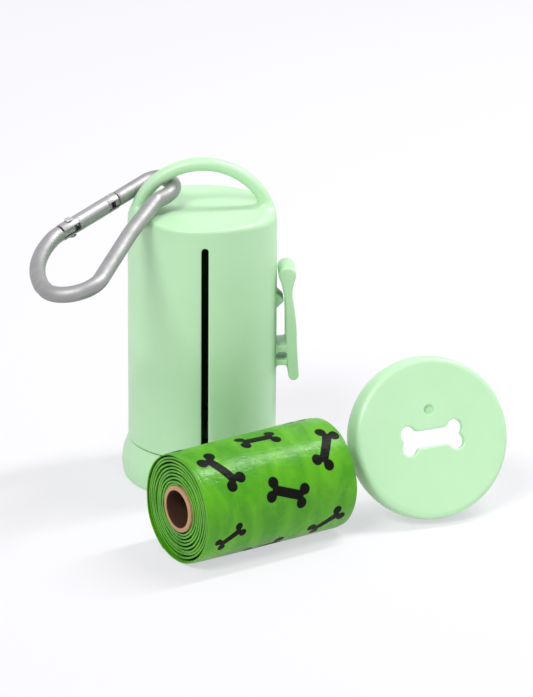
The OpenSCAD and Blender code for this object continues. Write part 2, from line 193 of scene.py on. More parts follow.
def softened(loop, times):
    for _ in range(times):
        loop = (np.roll(loop, 1, 0) + 2 * loop + np.roll(loop, -1, 0)) / 4
    return loop


def smoothstep(x):
    x = np.clip(x, 0, 1)
    return x * x * (3 - 2 * x)


# ---- material helpers
def linear(code):
    """sRGB hex to linear RGBA."""
    c = [int(code[i:i + 2], 16) / 255 for i in (1, 3, 5)]
    return [v / 12.92 if v <= 0.04045 else ((v + 0.055) / 1.055) ** 2.4 for v in c] + [1]


def per_mm(size):
    """Noise scale for features of that many millimetres, on coordinates in metres."""
    return 1 / (size * MM)


class Tree:
    """A node tree. add() is the one function that makes a node, with its settings and links."""

    def __init__(self, tree):
        self.tree = tree

    def put(self, socket, value):
        if isinstance(value, bpy.types.NodeSocket):
            self.tree.links.new(value, socket)
        else:
            socket.default_value = value

    def add(self, kind, *values, out=0, **named):
        """One output of a new node, or with out=None the node. A second word in kind is its
        operation. Values fill its inputs in order, a name with a capital is the input called
        that, in6 is input 6, and other names are settings."""
        kind, _, operation = kind.partition(" ")
        kinds = (prefix + kind for prefix in ("ShaderNode", "GeometryNode", "Node"))
        node = self.tree.nodes.new(next(k for k in kinds if hasattr(bpy.types, k)))
        if operation:
            node.operation = operation
        inputs = dict(enumerate(values))
        for key, value in named.items():
            if key[0].isupper():
                inputs[key.replace("_", " ")] = value
            elif key[2:].isdigit():
                inputs[int(key[2:])] = value
            else:
                setattr(node, key, value)
        for at, value in inputs.items():
            self.put(node.inputs[at], value)
        return node if out is None else node.outputs[out]


class Nodes(Tree):
    """One material and its tree."""

    def __init__(self, name):
        self.material = bpy.data.materials.new(name)
        self.material.use_nodes = True
        super().__init__(self.material.node_tree)
        self.shader = self.tree.nodes["Principled BSDF"]

    def principled(self, **inputs):
        for key, value in inputs.items():
            self.put(self.shader.inputs[key.replace("_", " ")], value)
        return self.material


RGBA = {"data_type": "RGBA", "out": 2}     # Mix for colours: they are inputs 6 and 7, output 2


# ---- materials
def moulded_plastic(name, base, shade, grain=0.5, painted_bore_shade=False):
    """Injection-moulded ABS with a satin finish: an even pastel with a broad soft highlight,
    faint spark-eroded grain of about 0.35 mm and very slight waviness from the tool. For the
    tube, painted shade: its bore is coloured nearly black inside, where light hardly reaches."""
    m = Nodes(name)
    at = m.add("TexCoord", out="Object")
    patch, fine, wavy, sheen = (m.add("TexNoise", Vector=at, Scale=per_mm(size), Detail=detail)
                                for size, detail in ((18, 2.0), (0.35, 4.0), (9, 1.0), (6, 3.0)))
    colour = m.add("Mix", m.add("MapRange", patch, 0.35, 0.65), **RGBA,
                   in6=linear(base), in7=linear(shade))
    if painted_bore_shade:
        # painted shade: the wall of the bore is coloured nearly black, from the neck's foot up to the
        # closed top
        level = m.add("VectorMath MULTIPLY", at, (1, 1, 0))
        across = m.add("VectorMath LENGTH", level, out=1)
        height = m.add("SeparateXYZ", at, out=2)
        bore = m.add("MapRange", height, 12.0 * MM, 12.9 * MM, (NECK_BORE + 0.2) * MM,
                     (BORE_R + 0.15) * MM)
        inside = m.add("MapRange", m.add("Math SUBTRACT", across, bore), 0.4 * MM, 0.0)
        for low, high in ((5.0, 9.0), (73.5, 73.4)):     # from the neck's foot up to the closed top
            part = m.add("MapRange", height, low * MM, high * MM)
            inside = m.add("Math MULTIPLY", inside, part)
        colour = m.add("Mix", inside, **RGBA, in6=colour, in7=linear("#0b2a0c"))
    bump = m.add("Bump", Strength=grain * 0.12, Distance=0.05 * MM, Height=fine)
    bump = m.add("Bump", Strength=0.10, Distance=0.25 * MM, Height=wavy, Normal=bump)
    rough = m.add("MapRange", sheen, 0.3, 0.7, 0.36, 0.44)
    return m.principled(Base_Color=colour, Roughness=rough, Normal=bump, IOR=1.52,
                        Specular_IOR_Level=0.8, Subsurface_Weight=0.12,
                        Subsurface_Radius=(1.2, 1.6, 1.1), Subsurface_Scale=0.9 * MM)


def drawn_metal(name, base, dark, roughness):
    """Aluminium bar, tumbled after bending: soft grey sheen with fine scratches 0.2 mm apart
    and shallow pits, a little darker in patches."""
    m = Nodes(name)
    at = m.add("TexCoord", out="Object")
    lengthways = m.add("Mapping", Vector=at, Rotation=(0.3, 0.2, 0.73), Scale=(1, 9, 9))
    sizes = (at, 5, 4.0), (lengthways, 1.6, 5.0), (at, 0.8, 3.0), (at, 2.5, 3.0)
    cloud, scratch, pits, sheen = (m.add("TexNoise", Vector=vector, Scale=per_mm(size), Detail=detail)
                                   for vector, size, detail in sizes)
    colour = m.add("Mix", m.add("MapRange", cloud, 0.35, 0.7), **RGBA,
                   in6=linear(base), in7=linear(dark))
    bump = m.add("Bump", Strength=0.25, Distance=0.03 * MM, Height=scratch)
    bump = m.add("Bump", Strength=0.18, Distance=0.05 * MM, Height=pits, Normal=bump)
    rough = m.add("MapRange", sheen, 0.3, 0.7, roughness - 0.05, roughness + 0.07)
    return m.principled(Base_Color=colour, Metallic=1.0, Roughness=rough, Normal=bump)


def kraft_board(name, base, dark):
    """Kraft board: matt brown paper with fibres about 0.2 mm wide and 1.5 mm long and darker
    flecks. Its bore is painted dark brown: painted shade."""
    m = Nodes(name)
    at = m.add("UVMap", uv_map="wrap")
    along = m.add("Mapping", Vector=at, Scale=(0.6, 4, 1))
    fibre = m.add("TexNoise", Vector=along, Scale=per_mm(900), Detail=5.0)
    fleck = m.add("TexNoise", Vector=at, Scale=per_mm(700), Detail=5.0)
    colour = m.add("Mix", m.add("MapRange", fibre, 0.35, 0.65), **RGBA,
                   in6=linear(base), in7=linear(dark))
    specks = m.add("MapRange", fleck, 0.62, 0.72, 0, 0.35)
    colour = m.add("Mix", specks, **RGBA, in6=colour, in7=linear("#8a6446"))
    # painted shade: the bore, marked by the bore attribute, is coloured dark brown
    inside = m.add("MapRange", m.add("Attribute", out=2, attribute_name="bore"), 0.0, 1.0)
    colour = m.add("Mix", inside, **RGBA, in6=colour, in7=linear("#3c1f08"))
    bump = m.add("Bump", Strength=0.35, Distance=0.06 * MM, Height=fibre)
    return m.principled(Base_Color=colour, Roughness=0.82, Normal=bump)


def bone_mask(length, knob_off, knob_r, shaft_half):
    """Node group: 1 inside a plain bone shape of that size, 0 outside, in millimetres."""
    g = bpy.data.node_groups.new("bone_shape", "ShaderNodeTree")
    for name, kind in (("At", "Vector"), ("Centre", "Vector"), ("Angle", "Float"), ("Size", "Float")):
        g.interface.new_socket(name, in_out="INPUT", socket_type="NodeSocket" + kind)
    g.interface.new_socket("Mask", in_out="OUTPUT", socket_type="NodeSocketFloat")
    m = Tree(g)
    at, centre, angle, size = m.add("GroupInput", out=None).outputs[:4]
    turned = m.add("VectorRotate", rotation_type="Z_AXIS", Vector=at, Center=centre, Angle=angle)
    local = m.add("VectorMath SUBTRACT", turned, centre)
    local = m.add("VectorMath ABSOLUTE", local)
    local = m.add("VectorMath SCALE", local, Scale=m.add("Math DIVIDE", 1.0, size))
    knob = m.add("VectorMath DISTANCE", local, (length / 2, knob_off, 0), out=1)
    knob = m.add("Math SUBTRACT", knob, knob_r)
    beyond = [m.add("Math SUBTRACT", m.add("SeparateXYZ", local, out=i), half)
              for i, half in ((0, length / 2), (1, shaft_half))]
    shaft = m.add("Math MAXIMUM", *beyond)
    both = m.add("Math SMOOTH_MIN", knob, shaft, 0.5)
    m.add("GroupOutput", m.add("MapRange", both, 0.05, -0.05), out=None)
    return g


# Printed bones: place along the roll and angle round it (0 is the top), direction and size.
BONES = [(-15.1, -35, -60, 1), (0.8, -5.5, -3, 0.93), (17.0, -38.5, -125, 0.98), (1.7, -75, -21, 1),
         (-15.9, -109, -147, 0.70), (15.0, -122, -146, 0.84), (17.7, 41, 84, 1),
         (-2.6, -146, 12, 0.95), (-16.5, 31, 20, 1), (1.5, 62, -70, 1), (16, 96, 35, 0.95),
         (-15, 100, -40, 1), (-1, 133, 10, 0.95), (15, 166, -75, 1), (-16, 172, 80, 0.95),
         (1, -178, -30, 1)]
ROLL_R, ROLL_LEN, CORE_R, CORE_T = 14.7, 46.6, 6.2, 1.3


def printed_film(name, plain=False):
    """Polythene film, wound tight: glossy mid green that goes paler where it creases and lifts
    off the turn below, with creases 2 to 7 mm apart and black flexo print on the outer bag."""
    m = Nodes(name)
    at = m.add("TexCoord", out="Object")
    wrap = m.add("UVMap", uv_map="wrap")
    stretch = m.add("Mapping", Vector=wrap, Scale=(1.0, 0.45, 1))
    cloud = m.add("TexNoise", Vector=stretch, Scale=0.16, Detail=3.0, Roughness=0.55, Distortion=0.6)
    colour = m.add("Mix", m.add("MapRange", cloud, 0.38, 0.66), **RGBA,
                   in6=linear("#419201"), in7=linear("#5baa0a"))
    slanted = m.add("Mapping", Vector=wrap, Scale=(0.35, 1.0, 1), Rotation=(0, 0, 0.35))
    crease = m.add("TexNoise", Vector=slanted, Scale=0.42, Detail=4.0, Roughness=0.55, Distortion=1.4)
    ink = 0.0
    if not plain:
        group = bone_mask(9.7, 1.85, 1.55, 1.3)
        for along, angle, direction, size in BONES:
            bone = m.add("Group", wrap, (along, radians(angle) * ROLL_R, 0),
                         -radians(direction), size, node_tree=group)
            ink = m.add("Math MAXIMUM", ink, bone)
        print_colour = m.add("Mix", m.add("MapRange", cloud, 0.3, 0.7), **RGBA,
                             in6=linear("#070805"), in7=linear("#0e100a"))
        colour = m.add("Mix", ink, **RGBA, in6=colour, in7=print_colour)
    fine = m.add("TexNoise", Vector=at, Scale=per_mm(1.1), Detail=3.0)
    bump = m.add("Bump", Strength=0.7, Distance=0.6 * MM, Height=cloud)
    bump = m.add("Bump", Strength=0.6, Distance=0.25 * MM, Height=crease, Normal=bump)
    bump = m.add("Bump", Strength=0.18, Distance=0.05 * MM, Height=fine, Normal=bump)
    rough = m.add("MapRange", crease, 0.35, 0.65, 0.25, 0.37)
    if plain:
        return m.principled(Base_Color=colour, Roughness=rough, Normal=bump, IOR=1.51)
    # the ink is duller than the film: a little rougher, with less of a mirror
    rougher = m.add("Math MULTIPLY", ink, 0.1)
    rough = m.add("Math ADD", rough, rougher)
    duller = m.add("Math MULTIPLY", ink, 0.22)
    mirror = m.add("Math SUBTRACT", 0.30, duller)
    return m.principled(Base_Color=colour, Roughness=rough, Normal=bump, IOR=1.51,
                        Specular_IOR_Level=mirror)


MINT = moulded_plastic("moulded_abs_mint", "#bae4b8", "#b6e1b4")
# the tube's material has painted shade inside its bore
MINT_PAINTED_BORE_SHADE = moulded_plastic("moulded_abs_mint_tube", "#bae4b8", "#b6e1b4", painted_bore_shade=True)
HOOK = drawn_metal("tumbled_aluminium", "#a6a6a5", "#9a9a99", 0.5)
GATE = drawn_metal("tumbled_aluminium_gate", "#aeaeae", "#a2a2a2", 0.46)
STEEL = drawn_metal("bright_steel_pin", "#cfd0d2", "#b9babd", 0.26)
BOARD = kraft_board("kraft_board", "#c39b78", "#ad8260")
FILM = printed_film("polythene_film_printed")
FILM_PLAIN = printed_film("polythene_film_turns", plain=True)


# ---- housing
def lean_limit(z):
    """Furthest that the housing reaches in X at a height above the spring of the arch."""
    reach = SHOULDER_R + ARCH_T / 2 + SKIN
    return SHOULDER_X + np.sqrt(np.maximum(reach ** 2 - np.maximum(z - SPRING_Z, 0) ** 2, 0))


def edge_radius(x, y):
    """Radius of the rounded top edge: tight at the front and back, softer beside the feet."""
    angle = np.degrees(np.arctan2(np.abs(x), np.abs(y)))
    return 1.15 + 1.5 * smoothstep((angle - 24) / 50)


def smooth_min(a, b, k):
    h = np.clip(0.5 + 0.5 * (b - a) / k, 0, 1)
    return b + (a - b) * h - k * h * (1 - h)


def rounded(a, b, r):
    """Signed distance to a rounded corner; a and b are measured from the centre of its arc."""
    return np.hypot(np.maximum(a, 0), np.maximum(b, 0)) + np.minimum(np.maximum(a, b), 0) - r


def top_distance(x, y, z):
    """Signed distance to the closed top with its arch, feet blended by fillets."""
    r = np.hypot(x, y)
    edge = edge_radius(x, y)
    tube = rounded(r - (TUBE_R - edge), z - (BODY_H - edge), edge)
    lean = np.hypot(np.maximum(np.abs(x) - SHOULDER_X, 0), np.maximum(z - SPRING_Z, 0)) \
        - (SHOULDER_R + ARCH_T / 2 + SKIN)
    lean = np.where(z < SPRING_Z, np.abs(x) - TUBE_R, lean)
    body = -smooth_min(-tube, -lean, 0.5)
    angle = np.arctan2(np.abs(x) - SHOULDER_X, z - SPRING_Z)
    shoulder = np.hypot(np.abs(x) - SHOULDER_X, z - SPRING_Z) - SHOULDER_R
    crown = np.hypot(x, z - CROWN_Z) - CROWN_R
    radial = np.where(angle > CROWN_HALF, shoulder, crown)
    corner = ARCH_T / 2 - 0.02
    arch = rounded(np.abs(radial) - (ARCH_T / 2 - corner), np.abs(y) - (ARCH_W / 2 - corner), corner)
    both = smooth_min(body, arch, np.where(x > 0, FOOT_CLIP_SIDE, FOOT_HOOK_SIDE))
    # the blend adds height along the whole arch, so it is cut back to the arch's own outline
    envelope = np.where((angle > CROWN_HALF) | (z < SPRING_Z), lean, crown - ARCH_T / 2 - SKIN)
    both = -smooth_min(-both, -envelope, 0.3)
    return np.maximum(both, r - TUBE_R)


def surface_net(field, low, high, step):
    """Quads where the field changes sign on a grid, with points moved onto the surface."""
    axes = [np.arange(lo, hi + step, step) for lo, hi in zip(low, high)]
    x, y, z = np.meshgrid(*axes, indexing="ij")
    values = field(x, y, z)
    inside = values < 0
    corners = np.zeros(tuple(n - 1 for n in inside.shape), int)
    for corner in np.ndindex(2, 2, 2):
        corners += inside[tuple(slice(c, c + n) for c, n in zip(corner, corners.shape))]
    cells = (corners > 0) & (corners < 8)
    index = -np.ones(cells.shape, int)
    index[cells] = np.arange(cells.sum())
    where = np.argwhere(cells)
    points = np.stack([axes[a][where[:, a]] + step / 2 for a in range(3)], 1)
    h = 0.02                    # half the distance that the slope is measured over
    for _ in range(6):
        value = field(*points.T)
        grad = np.stack([(field(*(points + d).T) - field(*(points - d).T)) / (2 * h)
                         for d in np.eye(3) * h], 1)
        size = np.maximum((grad ** 2).sum(1), 1e-6)
        move = grad * (value / size)[:, None]
        long = np.maximum(norm(move, axis=1) / (0.6 * step), 1)
        points = points - move / long[:, None]
    faces = []
    for a in range(3):
        b, c = (a + 1) % 3, (a + 2) % 3
        first = [slice(1, -1)] * 3
        first[a] = slice(0, -1)
        second = list(first)
        second[a] = slice(1, None)
        change = inside[tuple(first)] != inside[tuple(second)]
        at = np.argwhere(change)
        at[:, [b, c]] += 1
        flip = inside[tuple(at.T)]
        around = []
        for back in ((0, 0), (1, 0), (1, 1), (0, 1)):
            cell = at.copy()
            cell[:, [b, c]] -= back
            around.append(index[tuple(cell.T)])
        around = np.stack(around, 1)
        around[~flip] = around[~flip][:, ::-1]
        faces.append(around)
    return points, np.vstack(faces)


def cut_below(points, faces, z):
    """The part of a mesh above a height, closed with a flat face there."""
    data = bpy.data.meshes.new("cut")
    data.from_pydata(points.tolist(), [], faces.tolist())
    bm = bmesh.new()
    bm.from_mesh(data)
    geometry = bm.verts[:] + bm.edges[:] + bm.faces[:]
    bmesh.ops.bisect_plane(bm, geom=geometry, plane_co=(0, 0, z), plane_no=(0, 0, 1), clear_inner=True)
    bmesh.ops.holes_fill(bm, edges=[e for e in bm.edges if len(e.link_faces) == 1])
    points = np.array([v.co[:] for v in bm.verts])
    bm.verts.index_update()
    faces = [[v.index for v in f.verts] for f in bm.faces]
    bm.free()
    bpy.data.meshes.remove(data)
    return points, faces


JOIN_Z = 73.6    # where the tube's wall ends and the net of the closed top begins
NET_STEP = 0.36
WINDOW = 3.0     # half width of the patch of wall that holds the slot


def wall_point(s, z, r):
    """Point of the tube wall at s millimetres sideways from the slot's middle."""
    return (s, -sqrt(r * r - s * s), z)


def halfway(line, other):
    return [((a[0] + b[0]) / 2, (a[1] + b[1]) / 2) for a, b in zip(line, other)]


def slot_loop(frame_points, grow):
    """The slot's outline, one point for each point of the frame round it."""
    half = SLOT_W / 2
    low, high = SLOT_LOW + half, SLOT_HIGH - half
    out = []
    for s, z in frame_points:
        if low <= z <= high:
            out.append((copysign(half + grow, s), z))
        else:
            centre = low if z < low else high
            a = atan2(z - centre, s)
            out.append(((half + grow) * cos(a), centre + (half + grow) * sin(a)))
    return out


def tube_wall(solid):
    """Tube from the neck to JOIN_Z, closed on top, with the slot cut through its front."""
    cells = 12
    inner_angle = [asin(WINDOW * (2 * i / cells - 1) / TUBE_R) for i in range(cells + 1)]
    rest = 180
    first, last = inner_angle[-1], TAU + inner_angle[0]
    angles = inner_angle + [first + (last - first) * i / rest for i in range(1, rest)]
    n = len(angles)
    low, high = SLOT_LOW - 1.6, SLOT_HIGH + 1.4
    z_slot = list(np.linspace(SLOT_LOW + SLOT_W / 2, SLOT_HIGH - SLOT_W / 2, 27))
    z_rows = [low, low + 0.85, SLOT_LOW + 0.35] + z_slot + [SLOT_HIGH - 0.35, high - 0.7, high]
    outer = [(TUBE_R - 0.3, SEAM_Z)] + arc((TUBE_R - 0.3, SEAM_Z + 0.3), 0.3, -60, 0, 3) \
        + [(TUBE_R, z) for z in z_rows] + [(TUBE_R, high + 0.5), (TUBE_R, JOIN_Z)]
    lid = [(TUBE_R - 0.15, JOIN_Z + 0.001), (TUBE_R - 0.5, JOIN_Z + 0.15), (0, JOIN_Z + 0.15)]
    under = [(0, BODY_H - TOP_T), (BORE_R - 0.8, BODY_H - TOP_T)] \
        + arc((BORE_R - 0.8, BODY_H - TOP_T - 0.8), 0.8, 90, 0, 4)[1:-1]
    inner = [(BORE_R, z) for z in z_rows[::-1]]
    neck = [(BORE_R, 12.6), (NECK_BORE, 11.9), (NECK_BORE, NECK_LOW + 0.35),
            (NECK_BORE + 0.3, NECK_LOW), (NECK_R - 0.4, NECK_LOW), (NECK_R, NECK_LOW + 0.45),
            (NECK_R, SEAM_Z)]
    profile = outer + lid + under + inner + neck
    ids, loops, points = [], [], []

    def add_row(rows, row):
        rows.append(range(len(points), len(points) + len(row)))
        points.extend(row)

    for r, z in profile:
        if r < 1e-6:
            row = [(0, 0, z)]
        else:
            row = []
            for a in angles:
                x, y = r * sin(a), -r * cos(a)
                if z > SPRING_Z and r > BORE_R + 0.1:
                    limit = float(lean_limit(np.array(z))) - (TUBE_R - r)
                    x = max(-limit, min(limit, x))
                row.append((x, y, z))
        add_row(ids, row)
    outer_first = 5                                  # profile points where the slot's rows begin
    inner_first = len(outer) + len(lid) + len(under)
    rows = len(z_rows)

    def holds_slot(j, i):
        on_outer = outer_first <= j < outer_first + rows - 1
        on_inner = inner_first <= j < inner_first + rows - 1
        return (on_outer or on_inner) and i < cells

    faces = []
    for j in range(len(profile)):
        a, b = ids[j], ids[(j + 1) % len(profile)]
        row = [quad(a, b, i, n) for i in range(n) if not holds_slot(j, i)]
        faces += [face for face in row if len(face) > 2]
    # The frame round the slot, as grid places (row, column), anticlockwise seen from the front.
    around = [(0, i) for i in range(cells)] + [(j, cells) for j in range(rows - 1)] \
        + [(rows - 1, i) for i in range(cells, 0, -1)] + [(j, 0) for j in range(rows - 1, 0, -1)]
    flat = [(TUBE_R * sin(angles[i]), z_rows[j]) for j, i in around]
    flat_in = [(BORE_R * sin(angles[i]), z_rows[j]) for j, i in around]
    loops.append([ids[outer_first + j][i] for j, i in around])
    rings = [(slot_loop(flat, grow), r) for grow, r in (
        (0.32, TUBE_R), (0.12, TUBE_R - 0.08), (0.0, TUBE_R - 0.3), (0.0, BORE_R + 0.2), (0.2, BORE_R))]
    rings = [(halfway(flat, slot_loop(flat, 0.3)), TUBE_R)] + rings \
        + [(halfway(flat_in, slot_loop(flat, 0.2)), BORE_R)]
    for outline, r in rings:
        add_row(loops, [wall_point(s, z, r) for s, z in outline])
    loops.append([ids[inner_first + rows - 1 - j][i] for j, i in around])
    m = len(around)
    for a, b in zip(loops[:-1], loops[1:]):
        faces += [(a[i], a[(i + 1) % m], b[(i + 1) % m], b[i]) for i in range(m)]
    solid.add(points, faces)


def housing():
    solid = Solid()
    tube_wall(solid)
    low, high = (-20.7, -20.7, JOIN_Z - 0.8), (20.7, 20.7, 90.4)
    solid.add(*cut_below(*surface_net(top_distance, low, high, NET_STEP), JOIN_Z))
    # Tooth that the clip presses a bag against, its edges broken by 0.3 mm.
    low, high, apex, sunk = 47.7, 52.9, 21.72, 19.3
    loops = []
    for y, inset in ((-3, 0.3), (-2.7, 0), (2.7, 0), (3, 0.3)):
        loops.append([(sunk - 0.8, y, low), (sunk, y, low), (apex - 0.35 - inset, y, 49.6),
                      (apex - inset, y, 50.05), (apex - inset, y, 50.55),
                      (apex - 0.35 - inset, y, 51.0), (sunk, y, high), (sunk - 0.8, y, high)])
    solid.loft(loops)
    return mesh("housing_shell", solid, MINT_PAINTED_BORE_SHADE, "dispenser", ["housing"], smooth=34)


# ---- caps
def bone_outline(grow, knob=2.2, half_len=6.55, off=1.85, shaft=2.25, count=168):
    """Outline of the plain bone-shaped hole, grown by grow, its inner corners softened."""
    r, w = knob + grow, shaft + grow
    a_shaft = 180 - degrees(asin(min((w - off) / r, 1)))
    a_end = -degrees(asin(min(off / r, 1)))
    quarter = np.array(arc((half_len, off), r, a_end, a_shaft, 24))
    half = np.vstack([quarter, quarter[::-1] * (-1, 1)])
    loop = np.vstack([half, half[::-1] * (1, -1)])
    loop = np.vstack([loop, loop[:1]])
    run = np.concatenate([[0], np.cumsum(norm(np.diff(loop, axis=0), axis=1))])
    at = np.linspace(0, run[-1], count + 1)[:-1]
    loop = np.stack([np.interp(at, run, loop[:, k]) for k in (0, 1)], 1)
    return [tuple(p) for p in softened(loop, 5)]


def flat_fill(solid, rim, holes, z, up):
    """Flat face at height z inside a rim, with holes in it; up tells which way it looks."""
    loops = [rim] + holes
    points = [Vector(p) for loop in loops for p in loop]
    edges, start = [], 0
    for loop in loops:
        edges += [(start + i, start + (i + 1) % len(loop)) for i in range(len(loop))]
        start += len(loop)
    out, _, tris, _, _, _ = delaunay_2d_cdt(points, edges, [], 1, 1e-6)

    def within(p, loop):
        hit = False
        for (x0, y0), (x1, y1) in zip(loop, loop[1:] + loop[:1]):
            if (y0 > p[1]) != (y1 > p[1]) and p[0] < (x1 - x0) * (p[1] - y0) / (y1 - y0) + x0:
                hit = not hit
        return hit

    keep = []
    for t in tris:
        c = sum((out[i] for i in t), Vector((0, 0))) / 3
        if within(c, rim) and not any(within(c, hole) for hole in holes):
            keep.append(tuple(t) if up else tuple(t)[::-1])
    solid.add([(p[0], p[1], z) for p in out], keep)


def cap_solid():
    """Screw cap without its thread, outer face at z = 0 and open side up."""
    solid, steps = Solid(), 192
    edge_x = BELLY_X + sqrt((BELLY_ARC - CAP_EDGE) ** 2 - (BELLY_Z - CAP_EDGE) ** 2)
    joint = degrees(atan2(CAP_EDGE - BELLY_Z, edge_x - BELLY_X))
    rim_r = edge_x - 0.35
    belly_top = degrees(asin((CAP_H - 0.3 - BELLY_Z) / BELLY_ARC))
    profile = [(rim_r, 0)] + arc((edge_x, CAP_EDGE), CAP_EDGE, -90, joint, 12) \
        + arc((BELLY_X, BELLY_Z), BELLY_ARC, joint, belly_top, 20)[1:] \
        + [(TUBE_R - 0.25, CAP_H), (CAP_BORE + 0.3, CAP_H), (CAP_BORE, CAP_H - 0.35),
           (CAP_BORE, FLOOR_T + 0.7)] \
        + arc((CAP_BORE - 0.7, FLOOR_T + 0.7), 0.7, 0, -90, 4)[1:]
    angles = [TAU * i / steps for i in range(steps)]
    rows = [[(r * cos(a), r * sin(a), z) for a in angles] for r, z in profile]
    solid.loft(rows, caps=False)

    def dimple(r):
        return [(r * cos(a), 7.5 + r * sin(a)) for a in np.linspace(0, TAU, 48)[:-1]]

    flat_fill(solid, [p[:2] for p in rows[0]], [bone_outline(0.55), dimple(1.75)], 0, False)
    flat_fill(solid, [p[:2] for p in rows[-1]], [bone_outline(0.4)], FLOOR_T, True)
    hole = [(0.55, 0), (0.38, 0), (0.2, 0.04), (0.06, 0.16), (0, 0.4), (0, FLOOR_T - 0.2),
            (0.2, FLOOR_T), (0.4, FLOOR_T)]
    solid.loft([[(x, y, z) for x, y in bone_outline(g)] for g, z in hole], caps=False)
    cup = [(1.75, 0), (1.55, 0), (1.4, 0.05), (1.3, 0.2), (1.28, 0.62), (1.15, 0.82), (0.9, 0.9)]
    solid.loft([[(x, y, z) for x, y in dimple(r)] for r, z in cup], caps=False)
    bottom = [(x, y, 0.9) for x, y in dimple(0.9)]
    solid.add(bottom, [tuple(range(len(bottom)))])
    return solid


# ---- used-bag clip
def resampled(line, start, end, count=40):
    """Points (x, z) at even heights along a line that is given as (z, x)."""
    z, x = zip(*sorted(line))
    return [(float(np.interp(v, z, x)), float(v)) for v in np.linspace(start, end, count)]


def clip():
    """Lever with a round head, slim neck and round tail; its rims are rounded by 0.6 mm."""
    outer = [(29.2, 25.95), (32, 25.75), (34.9, 25.55), (37.8, 25.38), (40.6, 25.3), (43.5, 25.2),
             (46.4, 24.85), (49.2, 24.5), (51.0, 24.15), (52.7, 23.95), (54.4, 24.1), (55.6, 24.55)]
    inner = [(55.7, 20.95), (54.6, 21.25), (53.6, 21.45), (51.8, 21.75), (50.3, 22.1), (47, 22.3),
             (43, 22.35), (39, 22.4), (36, 22.5), (33, 22.7), (30.5, 22.95), (29.2, 23.05)]
    head = arc((22.65, 57.7), 2.38, -38, 222, 28)
    tail = arc((24.5, 29.3), 1.46, 184, 356, 14)
    outline = resampled(outer, 29.2, 55.6) + head + resampled(inner, 55.7, 29.2) + tail
    outline = softened(np.array(outline), 3)
    step = np.roll(outline, -1, 0) - np.roll(outline, 1, 0)
    step /= norm(step, axis=1)[:, None]
    inward = np.stack([-step[:, 1], step[:, 0]], 1)
    loops = []
    round_r, half = 0.6, 4.6
    for a in np.radians(np.linspace(0, 90, 6)):
        inset, y = round_r * (1 - sin(a)), -half + round_r * (1 - cos(a))
        loops.append([(p[0], y, p[1]) for p in outline + inward * inset])
    loops += [[(x, -y, z) for x, y, z in loop] for loop in loops[::-1]]
    mesh("clip_lever", Solid().loft(loops), MINT, "clip_lever", ["bag_clip"],
         smooth=40, weld=0)


def webs():
    """Two thin bars between wall and lever, flared where they meet either."""
    solid = Solid()
    for mid, thick in ((36.95, 1.9), (33.05, 1.5)):
        loops = []
        for x in np.linspace(19.55, 22.75, 12):
            flare = 0.45 * max(0.0, 1 - (x - 19.95) / 0.5) ** 2 if x > 19.95 else 0.45
            flare = max(flare, 0.35 * max(0.0, 1 - (22.5 - x) / 0.5) ** 2)
            b, c, r = 4.6, thick / 2 + flare, 0.35
            corner = []
            for sy, sz, a0 in ((1, 1, 0), (-1, 1, 90), (-1, -1, 180), (1, -1, 270)):
                corner += arc((sy * (b - r), sz * (c - r)), r, a0, a0 + 90, 4)
            loops.append([(x, y, mid + z) for y, z in corner])
        solid.loft(loops)
    ob = mesh("clip_hinge_webs", solid, MINT, None, ["clip_webs"], weld=0)
    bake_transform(ob)


# ---- snap hook
HOOK_TURN = [radians(a) for a in (-2, -13.6, 41.9)]
HOOK_AT = Vector((-14.9932, 0.58, 80.091))
HOOK_PLACE = Matrix.Translation(HOOK_AT) @ Euler(HOOK_TURN).to_matrix().to_4x4()
ROD_R, GATE_R, GATE_Y, GATE_X0, GATE_X1 = 2.1, 2.25, 4.7, -27.2, -7.2
RIVET_X, LATCH_X, SLIT = GATE_X0 + 3.4, GATE_X1 - 1.9, 0.45
PLUNGER_X = RIVET_X + 1.67
CORNERS = [(-29.6, 4.7), (-42.3, -0.3), (-50.3, -12.6), (-59.3, -35.2), (-18.5, -13.4), (-2.6, -6.5),
           (5.3, -8.3), (9.3, 4.7)]
BENDS = [9, 36, 9, 7.7, 60, 3.2, 7, 3.6]


def bar_path():
    """Middle line of the bar in the hook's plane, a point every half millimetre or so."""
    ends = [np.array((GATE_X0 - SLIT, GATE_Y)), np.array((GATE_X1 + SLIT, GATE_Y))]
    stops = [ends[0]] + [np.array(c, float) for c in CORNERS] + [ends[1]]
    out = [stops[0]]
    for before, at, after, r in zip(stops, stops[1:], stops[2:], BENDS):
        u, v = before - at, after - at
        u, v = u / norm(u), v / norm(v)
        half = acos(float(u @ v)) / 2
        middle = at + (u + v) / norm(u + v) * r / sin(half)
        start, end = at + u * r / tan(half), at + v * r / tan(half)
        a0, a1 = (atan2(*(p - middle)[::-1]) for p in (start, end))
        turn = (a1 - a0 + pi) % TAU - pi
        steps = max(4, int(abs(turn) * r / 0.5))
        angles = [a0 + turn * t / steps for t in range(steps + 1)]
        out += [middle + r * np.array((cos(a), sin(a))) for a in angles]
    out.append(stops[-1])
    dense = []
    for a, b in zip(out[:-1], out[1:]):
        steps = max(1, int(norm(b - a) / 0.8))
        dense += [a + (b - a) * t / steps for t in range(steps)]
    return np.array(dense + [out[-1]])


